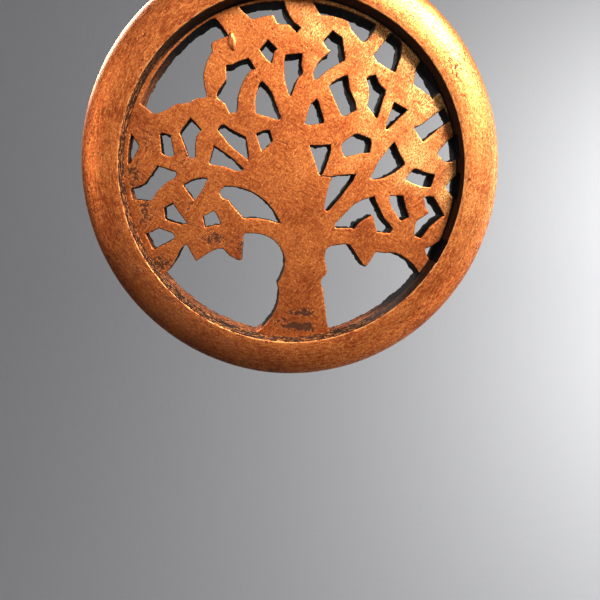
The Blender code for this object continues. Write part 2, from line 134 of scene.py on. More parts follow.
class Graph:
    """The node tree of one material."""

    def __init__(self, name: str) -> None:
        """Start a material of that name, with its Principled shader."""
        self.material = bpy.data.materials.new(name)
        self.material.use_nodes = True
        self.tree = self.material.node_tree
        self.shader = self.tree.nodes["Principled BSDF"]

    def add(self, kind: str, settings: Optional[dict] = None, sockets: Optional[dict] = None,
            output: Union[int, str] = 0) -> Wire:
        """Add a node.

        Args:
            kind: the node's type.
            settings: its properties, which are set first.
            sockets: a number, a tuple or a wire for each input, by index or name.
            output: the output wanted.

        Returns:
            A wire from that output.
        """
        node = self.tree.nodes.new(kind)
        for key, value in (settings or {}).items():
            setattr(node, key, value)
        for key, value in (sockets or {}).items():
            if isinstance(value, Wire):
                self.tree.links.new(value.socket, node.inputs[key])
            else:
                node.inputs[key].default_value = value
        return Wire(self, node.outputs[output])

    def place(self) -> Wire:
        """Return the point on the piece, in millimetres."""
        metres = self.add("ShaderNodeTexCoord", output="Object")
        return self.vector("SCALE", metres, factor=1.0 / MM)

    def vector(self, operation: str, first: Union[Wire, Point], second: Union[Wire, Point] = (0, 0, 0),
               factor: Number = 1.0) -> Wire:
        """Return the result of a Vector Math node."""
        output = "Value" if operation in {"DISTANCE", "LENGTH", "DOT_PRODUCT"} else "Vector"
        sockets = {0: first, 3: factor} if operation == "SCALE" else {0: first, 1: second}
        return self.add("ShaderNodeVectorMath", {"operation": operation}, sockets, output)

    def split(self, vector: Wire) -> tuple[Wire, Wire, Wire]:
        """Return the three parts of a vector."""
        node = self.add("ShaderNodeSeparateXYZ", sockets={0: vector}).socket.node
        return tuple(Wire(self, socket) for socket in node.outputs)

    def joined(self, x: Number, y: Number, z: Number) -> Wire:
        """Return a vector from its three parts."""
        return self.add("ShaderNodeCombineXYZ", sockets={0: x, 1: y, 2: z})

    def stretched(self, vector: Wire, turn: float, grain: Point) -> Wire:
        """Return coordinates turned about Y by degrees and then divided by a grain's size."""
        sockets = {"Vector": vector, "Rotation": (0.0, math.radians(turn), 0.0), "Scale": grain}
        return self.add("ShaderNodeMapping", {"vector_type": "TEXTURE"}, sockets)

    def noise(self, vector: Wire, scale: float, detail: float = 2.0, roughness: float = 0.5,
              output: int = 0) -> Wire:
        """Return fractal noise, whose grain is about 1 / scale."""
        sockets = {"Vector": vector, "Scale": scale, "Detail": detail, "Roughness": roughness}
        return self.add("ShaderNodeTexNoise", sockets=sockets, output=output)

    def mix(self, share: Number, first: Union[Wire, Colour], second: Union[Wire, Colour]) -> Wire:
        """Return a blend of two colours."""
        ends = [end if isinstance(end, Wire) else (*end, 1.0) for end in (first, second)]
        return self.add("ShaderNodeMix", {"data_type": "RGBA"}, {0: share, 6: ends[0], 7: ends[1]}, 2)

    def normal(self) -> Wire:
        """Return the surface's own direction."""
        return self.add("ShaderNodeNewGeometry", output="Normal")

    def beside(self, place: Wire, start: Point, end: Point) -> Wire:
        """Return how far a place is, as seen from the front, from the straight line between two points."""
        run = Vector(end) - Vector(start)
        local = self.vector("MULTIPLY", self.vector("SUBTRACT", place, start), (1.0, 0.0, 1.0))
        share = self.vector("DOT_PRODUCT", local, tuple(run / run.length_squared)).higher(0.0).lower(1.0)
        return self.vector("DISTANCE", local, self.vector("SCALE", tuple(run), factor=share))

    def lower_left(self, x: Wire, z: Wire) -> Wire:
        """Return 1 at the disc's lower left, the side that faces the key lamp, and 0 elsewhere; it places
        painted light and shade on the inner walls.
        """
        return (x * -0.75 - z * 0.66).rise(0.0, 34.0)

    def finish(self, coat: "Coat", relief: float, specular: float = 0.5) -> bpy.types.Material:
        """Feed a coat to the shader.

        Args:
            coat: the coat's colour and surface.
            relief: the depth in millimetres that its height stands for.
            specular: the shader's specular level.

        Returns:
            The material.
        """
        inputs = self.shader.inputs
        bump = self.add("ShaderNodeBump", sockets={"Strength": 1.0, "Distance": relief * MM,
                                                   "Height": coat.height})
        for name, value in (("Base Color", coat.colour), ("Roughness", coat.roughness),
                            ("Metallic", coat.metallic), ("Normal", bump)):
            if isinstance(value, Wire):
                self.tree.links.new(value.socket, inputs[name])
            else:
                inputs[name].default_value = value
        inputs["Specular IOR Level"].default_value = specular
        return self.material


@dataclass
class Coat:
    """A painted or bare surface: its colour, its shader values and its height from 0 to 1."""

    colour: Wire
    roughness: Number
    metallic: Number
    height: Wire

    def over(self, graph: Graph, under: "Coat", share: Wire) -> "Coat":
        """Lay this coat over another one.

        Args:
            graph: the tree that both are in.
            under: the coat below.
            share: 1 where this coat covers, 0 where the other one shows.

        Returns:
            The blended coat.
        """
        def blend(top: Number, base: Number) -> Wire:
            """Blend two numbers."""
            return base + (top - base) * share

        return Coat(graph.mix(share, under.colour, self.colour), blend(self.roughness, under.roughness),
                    blend(self.metallic, under.metallic), blend(self.height, under.height))


# ---------------------------------------------------------------- finishes
@dataclass(frozen=True)
class ThinPatch:
    """A place where the copper is rubbed thin: its middle, its half sizes in mm and how bare it is."""

    x: float
    z: float
    wide: float
    high: float
    bare: float


THIN_PATCHES = (
    ThinPatch(1.5, -56.5, 9.0, 3.0, 0.85),
    ThinPatch(3.5, -51.0, 7.0, 2.2, 0.60),
    ThinPatch(-4.0, -53.5, 5.0, 1.6, 0.50),
    ThinPatch(3.0, -41.0, 6.0, 5.0, 0.22),
    ThinPatch(-29.0, -23.5, 7.5, 5.0, 0.50),
    ThinPatch(-19.5, -26.5, 3.0, 5.0, 0.48),
    ThinPatch(-37.5, -11.5, 4.0, 3.5, 0.34),
    ThinPatch(-53.5, -13.0, 4.0, 8.0, 0.50),
    ThinPatch(-48.5, -32.5, 6.5, 5.0, 0.58),
    ThinPatch(-56.5, 0.0, 3.5, 8.0, 0.45),
    ThinPatch(-52.0, 12.0, 5.0, 8.0, 0.34),
    ThinPatch(-38.0, 6.0, 4.0, 5.0, 0.34),
    ThinPatch(-39.0, -6.0, 3.0, 3.0, 0.28),
    ThinPatch(-24.0, -24.0, 9.0, 4.0, 0.30),
    ThinPatch(4.0, 24.0, 9.0, 6.0, 0.16),
    ThinPatch(37.0, 1.0, 5.0, 3.0, 0.22),
    ThinPatch(-2.0, -12.0, 12.0, 10.0, 0.14),
    ThinPatch(54.0, -31.0, 4.0, 4.0, 0.42),
    ThinPatch(14.0, 37.0, 8.0, 4.0, 0.18),
)


@dataclass(frozen=True)
class Scratch:
    """A straight mark in the paint: its two ends and its half width in mm, and how bare it is."""

    start: tuple[float, float]
    end: tuple[float, float]
    half: float
    bare: float


SCRATCHES = (
    Scratch((-7.0, 12.5), (0.0, 10.0), 0.28, 0.45),
    Scratch((10.0, 0.0), (15.0, -0.3), 0.40, 1.2),
)


@dataclass(frozen=True)
class RubbedCopper:
    """Copper paint, dry-brushed and rubbed over black clay, with a painted highlight of pale gilt towards the
    upper right.
    """

    red: Colour = (0.30, 0.062, 0.018)
    orange: Colour = (0.62, 0.165, 0.042)
    gold: Colour = (0.90, 0.40, 0.115)
    # the pale gilt of the painted highlight
    highlight_gilt: Colour = (1.0, 0.72, 0.28)
    bare: Colour = (0.024, 0.011, 0.007)

    def coat(self, graph: Graph, place: Wire, strokes: Wire, thin: Wire, highlight_share: float = 0.0) -> Coat:
        """Mix the coat.

        Args:
            graph: the tree to build in.
            place: the point on the piece, in millimetres.
            strokes: the brush marks, from 0 to 1.
            thin: how thin the copper is rubbed, from 0 to 1.
            highlight_share: how strongly the painted highlight of pale gilt flecks is laid over the copper
                towards the upper right, where the key lamp falls, from 0 to 1.

        Returns:
            The copper coat.
        """
        x, _, z = graph.split(place)
        drift = graph.noise(place, 0.07, 3.0, 0.6)
        grain = graph.noise(place, 1.5, 3.0, 0.7)
        fleck = graph.noise(graph.stretched(place, -58.0, (0.85, 0.6, 0.34)), 1.0, 2.0, 0.6)
        rub = strokes * 0.60 + grain * 0.40 + (drift - 0.5) * 0.30
        colour = graph.mix(rub.rise(0.36, 0.60), self.red, self.orange)
        colour = graph.mix(fleck.rise(0.46, 0.66) * rub.rise(0.42, 0.60) * 0.8, colour, self.gold)
        # Painted highlight: pale gilt flecks towards the upper right, where the key lamp falls, with a little
        # less wear there.
        highlight_mask = (x * 0.78 + z * 0.62 + (drift - 0.5) * 90.0).rise(24.0, 62.0) * highlight_share
        colour = graph.mix(fleck.rise(0.42, 0.60) * highlight_mask, colour, self.highlight_gilt)
        pores = graph.noise(place, 0.95, 4.0, 0.72)
        wear = pores + thin * 0.57 + (0.5 - strokes) * 0.30 - highlight_mask * 0.06
        bare = wear.rise(0.62, 0.78)
        colour = graph.mix(bare * 0.94, colour, self.bare)
        roughness = 0.42 + bare * 0.20 + (1.0 - grain) * 0.12
        metallic = 0.94 - bare * 0.80
        height = strokes * 0.5 + grain * 0.35 - bare * 0.3
        return Coat(colour, roughness, metallic, height)


@dataclass(frozen=True)
class BlackSlip:
    """The black undercoat, as it is left in the knife cuts and on the back."""

    black: Colour = (0.003, 0.0025, 0.0025)
    dusty: Colour = (0.022, 0.011, 0.008)

    def coat(self, graph: Graph, place: Wire, dust: Number) -> Coat:
        """Mix the undercoat.

        Args:
            graph: the tree to build in.
            place: the point on the piece, in millimetres.
            dust: how much brown clay shows in it, from 0 to 1.

        Returns:
            The undercoat.
        """
        drag = graph.noise(graph.stretched(place, 0.0, (0.5, 3.0, 0.5)), 1.0, 3.0, 0.6)
        crumb = graph.noise(place, 2.0, 3.0, 0.7)
        colour = graph.mix(crumb.rise(0.45, 0.75) * dust, self.black, self.dusty)
        return Coat(colour, 0.68 + crumb * 0.25, 0.0, drag * 0.7 + crumb * 0.3)


@dataclass(frozen=True)
class TreeFinish:
    """The pierced slab: copper face, black cuts with copper dragged over their lips, dull back, and painted
    shade where edges and corners face away from the key lamp.
    """

    face_depth: float
    rim_wall_radius: float = 57.5
    raw_clay: Colour = (0.11, 0.055, 0.032)

    def thinness(self, graph: Graph, place: Wire) -> Wire:
        """Return how thin the copper is rubbed over the face."""
        wander = graph.vector("SUBTRACT", graph.noise(place, 0.22, 3.0, 0.6, output=1), (0.5, 0.5, 0.5))
        warped = graph.vector("ADD", place, graph.vector("SCALE", wander, factor=9.0))
        thin = graph.noise(place, 0.11, 2.0, 0.5) * 0.55 - 0.16
        for patch in THIN_PATCHES:
            size = (1.0 / patch.wide, 0.0, 1.0 / patch.high)
            local = graph.vector("SUBTRACT", warped, (patch.x, 0.0, patch.z))
            away = graph.vector("LENGTH", graph.vector("MULTIPLY", local, size))
            thin = thin.higher(away.rise(1.25, 0.1) * patch.bare)
        for mark in SCRATCHES:
            near = graph.beside(place, (mark.start[0], 0.0, mark.start[1]), (mark.end[0], 0.0, mark.end[1]))
            thin = thin.higher(near.rise(mark.half, mark.half * 0.4) * mark.bare)
        return thin

    def material(self) -> bpy.types.Material:
        """Return the slab's material."""
        graph = Graph("pierced_tree_copper")
        place = graph.place()
        x, y, z = graph.split(place)
        lay = graph.noise(place, 0.10, 1.0, 0.5).rise(0.42, 0.58)
        along = graph.noise(graph.stretched(place, 28.0, (2.2, 1.2, 0.8)), 1.0, 4.0, 0.7)
        across = graph.noise(graph.stretched(place, -52.0, (2.4, 1.2, 0.8)), 1.0, 4.0, 0.7)
        strokes = along + (across - along) * lay
        # 0.9 lays a strong painted highlight on the face's upper right.
        copper = RubbedCopper().coat(graph, place, strokes, self.thinness(graph, place), 0.9)
        black = BlackSlip().coat(graph, place, 0.5)

        side, facing, up = graph.split(graph.normal())
        # Painted shade: faces turned down and to the left, away from the key lamp, lose their copper and show
        # black.
        shade_side = (side + up).rise(-0.10, -0.38)
        depth = y + self.face_depth
        ragged = (graph.noise(place, 1.4, 3.0, 0.7) - 0.5) * 1.6
        lip = (depth + ragged).rise(0.75, 0.05)
        front = facing.rise(-0.55, -0.92)
        out = graph.vector("LENGTH", graph.joined(x, 0.0, z))
        dragged = graph.noise(graph.joined(out * 0.9, y * 2.0, (x - z) * 0.25), 1.0, 2.0, 0.6)
        dragged = dragged * 0.6 + graph.noise(place, 1.1, 2.0, 0.6) * 0.4
        lower_left = graph.lower_left(x, z)
        # Copper dragged over the slab's outer walls shows only on the lower left, the side that faces the key
        # lamp: painted light.
        lit_rim_wall = out.rise(self.rim_wall_radius, self.rim_wall_radius + 1.2) * lower_left
        # Painted shade: black laid in the corner where the slab meets the rim's wall, except on the lower
        # left, where the key lamp reaches it.
        corner_shade = out.rise(59.0, 59.7) * (1.0 - lower_left)
        cover = (front * (1.0 - corner_shade)).higher(lip * (1.0 - corner_shade) * 0.9) * (1.0 - shade_side * 0.9)
        cover = cover.higher(lit_rim_wall * dragged.rise(0.46, 0.54) * 0.85) * facing.rise(0.6, 0.3)
        rear = facing.rise(0.5, 0.9) * (graph.noise(place, 0.30, 4.0, 0.65).rise(0.25, 0.62) * 0.8 + 0.2)
        black.colour = graph.mix(rear, black.colour, self.raw_clay)
        return graph.finish(copper.over(graph, black, cover), 0.09, specular=0.1)


@dataclass(frozen=True)
class CutFinish:
    """Knife-cut clay with only the black undercoat on it."""

    def material(self) -> bpy.types.Material:
        """Return the cut clay's material."""
        graph = Graph("knife_cut_black")
        return graph.finish(BlackSlip().coat(graph, graph.place(), 0.4), 0.09, specular=0.1)


@dataclass(frozen=True)
class RimFinish:
    """The moulded rim: copper brushed round it, with painted shade on its lower left, and a dark inner wall
    that is partly painted shade.
    """

    inner_radius: float
    wall_dark_and_shade: Colour = (0.020, 0.009, 0.006)
    wall_copper: Colour = (0.56, 0.22, 0.07)
    polished: Colour = (0.80, 0.36, 0.12)
    shade: Colour = (0.13, 0.036, 0.012)

    def material(self) -> bpy.types.Material:
        """Return the rim's material."""
        graph = Graph("rubbed_rim_copper")
        place = graph.place()
        x, y, z = graph.split(place)
        out = graph.vector("LENGTH", graph.joined(x, 0.0, z))
        round_rim = graph.joined(out * 1.5 + y * 1.1, x * 0.42, z * 0.42)
        strokes = graph.noise(round_rim, 1.0, 3.0, 0.65)
        # Painted shade: the rim's lower left is rubbed thinner and mixed towards the shade colour.
        low = (x * 0.62 + z * 0.78).rise(-42.0, -74.0)
        thin = graph.noise(place, 0.09, 3.0, 0.6) * 0.7 - 0.24 + low * 0.2
        # 0.2 lays a weak painted highlight on the rim's upper right.
        copper = RubbedCopper().coat(graph, place, strokes, thin, 0.2)
        copper.colour = graph.mix(low * 0.6, copper.colour, self.shade)
        arris = out.rise(self.inner_radius + 1.5, self.inner_radius + 1.1)
        copper.colour = graph.mix(arris * strokes.rise(0.40, 0.62) * 0.8, copper.colour, self.polished)

        outward = graph.vector("NORMALIZE", graph.joined(x, 0.0, z))
        inward = graph.vector("DOT_PRODUCT", graph.normal(), outward)
        wall = inward.rise(-0.50, -0.80)
        dragged = graph.noise(graph.joined(out + y * 2.2, x * 0.3, z * 0.3), 1.0, 2.0, 0.6)
        dragged = dragged * 0.6 + graph.noise(place, 1.1, 2.0, 0.6) * 0.4
        # The inner wall is partly painted shade: dark all round, with copper streaks shown mostly on the
        # lower left, which faces the key lamp.
        lit_wall_streaks = dragged.rise(0.53, 0.60) * (0.06 + graph.lower_left(x, z) * 0.94)
        stained = Coat(graph.mix(lit_wall_streaks, self.wall_dark_and_shade, self.wall_copper), 0.6 + dragged * 0.2,
                       lit_wall_streaks * 0.8, dragged)
        return graph.finish(stained.over(graph, copper, wall), 0.09, specular=0.1)


@dataclass(frozen=True)
class SeamFinish:
    """The luted seam: dull copper over dark clay, with thumb marks."""

    def material(self) -> bpy.types.Material:
        """Return the seam's material."""
        graph = Graph("luted_seam_clay")
        place = graph.place()
        strokes = graph.noise(place, 0.5, 3.0, 0.6)
        copper = RubbedCopper().coat(graph, place, strokes, graph.noise(place, 0.15) * 0.9)
        return graph.finish(copper, 0.1)


@dataclass(frozen=True)
class SlipFinish:
    """The bead of dried slip: copper pooled thick and smooth, lighter along its ridges."""

    deep: Colour = (0.30, 0.075, 0.022)
    bright: Colour = (0.66, 0.22, 0.065)

    def material(self) -> bpy.types.Material:
        """Return the bead's material."""
        graph = Graph("dried_slip_bead")
        place = graph.place()
        run = graph.noise(graph.stretched(place, -8.0, (0.55, 1.0, 3.0)), 1.0, 2.0, 0.5)
        skin = graph.noise(place, 2.2, 3.0, 0.6)
        colour = graph.mix((run * 0.7 + skin * 0.3).rise(0.38, 0.60), self.deep, self.bright)
        return graph.finish(Coat(colour, 0.40 + skin * 0.14, 0.85, run), 0.12)


@dataclass(frozen=True)
class WireFinish:
    """Drawn steel wire with a little brown tarnish."""

    steel: Colour = (0.36, 0.35, 0.34)
    tarnish: Colour = (0.13, 0.085, 0.06)

    def material(self) -> bpy.types.Material:
        """Return the wire's material."""
        graph = Graph("drawn_bail_wire")
        place = graph.place()
        spots = graph.noise(place, 0.9, 4.0, 0.65)
        draw = graph.noise(graph.stretched(place, 0.0, (4.0, 0.25, 0.25)), 1.0, 2.0, 0.5)
        rust = spots.rise(0.52, 0.70)
        colour = graph.mix(rust, self.steel, self.tarnish)
        return graph.finish(Coat(colour, 0.28 + rust * 0.3, 1.0 - rust * 0.5, draw), 0.02)


@dataclass(frozen=True)
class StudioFinish:
    """The plain pale paper that the plaque hangs in front of."""

    tint: Colour = (0.55, 0.56, 0.58)

    def material(self) -> bpy.types.Material:
        """Return the paper's material."""
        graph = Graph("studio_paper")
        pulp = graph.noise(graph.place(), 0.4, 3.0, 0.6)
        colour = graph.mix(pulp, self.tint, tuple(part * 0.97 for part in self.tint))
        return graph.finish(Coat(colour, 0.92, 0.0, pulp), 0.1)


# ---------------------------------------------------------------- modelling by hand
class Bench:
    """Blender's own modelling tools on one piece at a time."""

    def __init__(self, name: str, add: Callable[..., set], **how: object) -> None:
        """Add a primitive with one of bpy.ops' functions, name it and enter edit mode."""
        self.leave()
        add(**how)
        self.start(bpy.context.object, name)

    @classmethod
    def copy_of(cls, name: str, node: str) -> "Bench":
        """Copy a CAD node's mesh into a new piece and merge its loose triangles."""
        cls.leave()
        piece = bpy.data.objects.new(name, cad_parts[node].data.copy())
        bpy.context.scene.collection.objects.link(piece)
        bench = cls.__new__(cls)
        bench.start(piece, name)
        bpy.ops.mesh.select_all(action="SELECT")
        bpy.ops.mesh.remove_doubles(threshold=0.005 * MM)
        return bench

    @staticmethod
    def leave() -> None:
        """Go back to object mode with nothing selected."""
        if bpy.context.object and bpy.context.object.mode != "OBJECT":
            bpy.ops.object.mode_set(mode="OBJECT")
        bpy.ops.object.select_all(action="DESELECT")

    def start(self, piece: bpy.types.Object, name: str) -> None:
        """Name a piece, make it the active one and enter edit mode."""
        self.piece = piece
        piece.name = piece.data.name = name
        bpy.context.view_layer.objects.active = piece
        piece.select_set(True)
        bpy.ops.object.mode_set(mode="EDIT")

    def mesh(self) -> bmesh.types.BMesh:
        """Return the mesh as it is being edited."""
        return bmesh.from_edit_mesh(self.piece.data)

    def select(self, kind: str, wanted: Callable[[object], bool]) -> int:
        """Select the elements that a test picks.

        Args:
            kind: VERT, EDGE or FACE.
            wanted: the test on one element.

        Returns:
            How many were selected.
        """
        bpy.ops.mesh.select_all(action="DESELECT")
        bpy.ops.mesh.select_mode(type=kind)
        found = self.mesh()
        elements = {"VERT": found.verts, "EDGE": found.edges, "FACE": found.faces}[kind]
        count = 0
        for element in elements:
            if wanted(element):
                element.select_set(True)
                count += 1
        found.select_flush_mode()
        bmesh.update_edit_mesh(self.piece.data)
        return count

    def score(self, point: Point, normal: Point) -> None:
        """Cut what is selected along a plane, which keeps both sides."""
        bpy.ops.mesh.bisect(plane_co=Vector(point) * MM, plane_no=normal, threshold=TOUCH * MM)

    def shift(self, rule: Callable[[bmesh.types.BMVert], Vector]) -> None:
        """Move each vertex by what a rule returns for it, in metres, worked out before any moves."""
        mesh = self.mesh()
        mesh.normal_update()
        moves = [rule(vert) for vert in mesh.verts]
        for vert, move in zip(mesh.verts, moves):
            vert.co += move
        mesh.normal_update()
        bmesh.update_edit_mesh(self.piece.data)

    def modify(self, kind: str, **settings: object) -> None:
        """Add a modifier and apply it."""
        bpy.ops.object.mode_set(mode="OBJECT")
        modifier = self.piece.modifiers.new(kind.lower(), kind)
        for key, value in settings.items():
            setattr(modifier, key, value)
        bpy.ops.object.modifier_apply(modifier=modifier.name)
        bpy.ops.object.mode_set(mode="EDIT")

    def settle(self) -> None:
        """Put the piece's place, turn and size into its mesh."""
        bpy.ops.object.mode_set(mode="OBJECT")
        bpy.ops.object.transform_apply(location=True, rotation=True, scale=True)
        bpy.ops.object.mode_set(mode="EDIT")

    def face_out(self) -> None:
        """Merge doubles and turn every face outwards."""
        bpy.ops.mesh.select_all(action="SELECT")
        bpy.ops.mesh.remove_doubles(threshold=0.002 * MM)
        bpy.ops.mesh.normals_make_consistent(inside=False)

    def done(self, smooth: float, finish: bpy.types.Material, body: Body, slot: Slot,
             node: str) -> bpy.types.Object:
        """Shade, dress and mount the piece.

        Args:
            smooth: edges sharper than this many degrees stay sharp.
            finish: the piece's material.
            body: the body that it rides on.
            slot: the record's slot that its finish comes from; not used.
            node: the CAD node that it stands for.

        Returns:
            The finished piece.
        """
        bpy.ops.object.mode_set(mode="OBJECT")
        bpy.ops.object.shade_smooth_by_angle(angle=math.radians(smooth))
        modifier = self.piece.modifiers.new("even_shading", "WEIGHTED_NORMAL")
        modifier.keep_sharp = True
        bpy.ops.object.modifier_apply(modifier=modifier.name)
        if not self.piece.data.materials:
            self.piece.data.materials.append(finish)
        self.piece.data.materials[0] = finish
        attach(self.piece, body.value)
        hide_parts(node)
        self.leave()
        return self.piece


def ripple(place: Vector, grain: float, depth: float, seed: float = 0.0) -> float:
    """Return a smooth unevenness at a place.

    Args:
        place: the point, in metres.
        grain: the size of one swell, in millimetres.
        depth: the largest value returned.
        seed: another number gives another pattern.

    Returns:
        A value between -depth and depth.
    """
    return depth * noise.noise(place / (grain * MM) + Vector((seed, seed * 1.7, -seed)))


# ---------------------------------------------------------------- sub-assemblies
@dataclass(frozen=True)
class Burr:
    """Clay that the knife left hanging at the back of a cut: its middle, reach and half width in mm."""

    x: float
    z: float
    reach: float
    width: float


BURRS = (
    Burr(-38.5, 41.0, 1.4, 3.6),
    Burr(-34.5, 45.0, 0.9, 2.6),
    Burr(12.0, 41.6, 1.0, 1.3),
    Burr(34.3, 18.3, 1.3, 1.3),
    Burr(36.4, 19.9, 0.7, 1.0),
    Burr(36.8, -7.9, 1.3, 1.2),
    Burr(50.6, -26.3, 1.2, 1.2),
    Burr(46.5, 14.0, 0.8, 1.2),
    Burr(57.0, 11.0, 0.7, 1.3),
    Burr(56.4, 6.3, 0.8, 1.2),
    Burr(15.7, 29.0, 0.7, 1.2),
    Burr(-44.0, 9.6, 0.5, 1.4),
    Burr(-29.0, -18.0, 0.5, 1.0),
    Burr(-40.0, -17.4, 0.5, 1.0),
    Burr(23.5, -17.8, 0.7, 1.3),
    Burr(45.8, -34.5, 0.5, 1.4),
    Burr(6.4, 20.5, 0.6, 1.2),
    Burr(-24.0, 13.5, 0.4, 1.6),
)


@dataclass
class PiercedTree:
    """The slab, with its knife-cut openings, soft front edges and ragged back edges."""

    edge_round: float = 0.32
    edge_step: float = 0.8
    grid: float = 2.5
    depth_rings: tuple[float, ...] = (1.1, 2.4, 4.0, 5.6, 7.0, 8.2, 9.1)
    mark_size: float = 1.1
    mark_depth: float = 0.05
    tear_depth: float = 0.22
    wobble_size: float = 3.5
    wobble_depth: float = 0.07
    drift_depth: float = 0.2
    chip_size: float = 1.5
    chip_depth: float = 0.14
    burr_start: float = 0.35
    burr_run: float = 0.5
    steepest_mitre: float = 0.5
    recess_bottom: float = 59.5
    recess_half: float = 11.0
    wall_start: float = 71.5

    def __post_init__(self) -> None:
        """Read the slab's size from its CAD node."""
        low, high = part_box("tree_panel")
        self.front = low.y / MM
        self.back = high.y / MM
        self.radius = high.x / MM

    def in_recess(self, place: Vector) -> bool:
        """Tell whether a place is by the bail's recess."""
        return place.z / MM > self.recess_bottom and abs(place.x) / MM < self.recess_half

    def on_plane(self, element: object, depth: float) -> bool:
        """Tell whether every vertex of an edge or a face is at a depth."""
        return all(abs(vert.co.y / MM - depth) < TOUCH for vert in element.verts)

    def worked(self, vert: bmesh.types.BMVert) -> bool:
        """Tell whether a vertex is on a knife-cut wall, and so is moved."""
        out = math.hypot(vert.co.x, vert.co.z) / MM
        return out < self.wall_start and not self.in_recess(vert.co)

    def walls(self, bench: Bench) -> None:
        """Keep only the walls, and score them into rings and short steps."""
        bpy.ops.mesh.dissolve_limited(angle_limit=math.radians(0.3))
        for depth in (self.front, self.back):
            bench.select("FACE", lambda face, depth=depth: self.on_plane(face, depth))
            bpy.ops.mesh.delete(type="FACE")
        rings = (0.25 * self.edge_round, self.edge_round, *self.depth_rings)
        bench.select("FACE", lambda face: all(self.worked(vert) for vert in face.verts))
        bpy.ops.mesh.hide(unselected=True)
        for ring in rings:
            bpy.ops.mesh.select_all(action="SELECT")
            bench.score((0.0, self.front + ring, 0.0), (0.0, 1.0, 0.0))
        bpy.ops.mesh.reveal()

        def long_step(edge: bmesh.types.BMEdge) -> bool:
            """Tell whether an edge along an outline is longer than a step."""
            level = abs(edge.verts[0].co.y - edge.verts[1].co.y) < TOUCH * MM
            cut_wall = all(self.worked(vert) for vert in edge.verts)
            return level and cut_wall and edge.calc_length() > self.edge_step * MM

        while bench.select("EDGE", long_step):
            bpy.ops.mesh.subdivide(number_cuts=1)

    def knife_work(self, vert: bmesh.types.BMVert) -> Vector:
        """Return how far a wall's vertex lies off the clean cut: round lip, tool marks and burrs."""
        if not self.worked(vert):
            return Vector()
        inward = Vector((vert.normal.x, 0.0, vert.normal.z)).normalized()
        deep = vert.co.y / MM - self.front
        share = deep / (self.back - self.front)
        turns = [face.normal.dot(inward) for face in vert.link_faces]
        mitre = 1.0 / max(self.steepest_mitre, min(turns, default=1.0))
        lip = 0.0
        if deep < 0.5 * self.edge_round:
            slope = 1.0 - deep / self.edge_round
            lip = -self.edge_round * mitre * (1.0 - math.sqrt(max(0.0, 1.0 - slope * slope)))
        drag = Vector((vert.co.x, vert.co.y * 0.35, vert.co.z))
        rough = ripple(drag, self.mark_size, self.mark_depth + self.tear_depth * share ** 2)
        rough += ripple(drag, self.wobble_size, self.wobble_depth + self.drift_depth * share, 5.0)
        chips = Vector((vert.co.x, 0.0, vert.co.z)) / (self.chip_size * MM)
        rough += self.chip_depth * share ** 3 * noise.cell(chips)
        burr = 0.0
        for left in BURRS:
            away = math.hypot(vert.co.x / MM - left.x, vert.co.z / MM - left.z)
            if away < left.width and share > self.burr_start:
                near = 1.0 - away / left.width
                hang = min(1.0, (share - self.burr_start) / self.burr_run)
                burr += left.reach * near * near * (3.0 - 2.0 * near) * hang
        return inward * ((lip + rough + burr) * MM)

    def caps(self, bench: Bench) -> None:
        """Close the front and the back, on a grid of even cells."""
        for depth in (self.front, self.back):
            bench.select("EDGE", lambda edge, depth=depth: self.on_plane(edge, depth) and edge.is_boundary)
            bpy.ops.mesh.fill(use_beauty=True)
            bench.select("FACE", lambda face, depth=depth: self.on_plane(face, depth))
            bpy.ops.mesh.hide(unselected=True)
            steps = int(self.radius / self.grid)
            for step in range(-steps, steps + 1):
                at = (step + 0.37) * self.grid
                for normal in ((1.0, 0.0, 0.0), (0.0, 0.0, 1.0)):
                    bpy.ops.mesh.select_all(action="SELECT")
                    bench.score((at, 0.0, at), normal)
            bpy.ops.mesh.select_all(action="SELECT")
            bpy.ops.mesh.quads_convert_to_tris()
            bpy.ops.mesh.beautify_fill(angle_limit=math.radians(1.0))
            bpy.ops.mesh.reveal()

    def hand_pressed(self, vert: bmesh.types.BMVert) -> Vector:
        """Return the slab's own unevenness at a vertex."""
        if self.in_recess(vert.co) and vert.co.y / MM > self.front + 1.0:
            return Vector()
        swell = ripple(vert.co, 16.0, 0.12, 2.0) + ripple(vert.co, 5.0, 0.05, 9.0)
        deep = (vert.co.y / MM - self.front) / (self.back - self.front)
        return Vector((0.0, (swell * (1.0 - deep) - (0.17 + swell) * deep) * MM, 0.0))

    def build(self) -> bpy.types.Object:
        """Model and dress the slab."""
        bench = Bench.copy_of("pierced_tree", "tree_panel")
        self.walls(bench)
        bench.shift(self.knife_work)
        self.caps(bench)
        bench.face_out()
        bench.shift(self.hand_pressed)
        finish = TreeFinish(face_depth=-self.front).material()
        return bench.done(50.0, finish, Body.PLAQUE, Slot.TREE, "tree_panel")


@dataclass(frozen=True)
class Nick:
    """Where an opening ran on into the rim's inner wall: its two angles, depth and height."""

    start: float
    end: float
    radius: float
    height: float


NICKS = (Nick(6.6, 14.5, 60.95, 2.0), Nick(-7.4, 1.5, 61.05, 2.2), Nick(-30.5, -21.9, 61.05, 9.0))


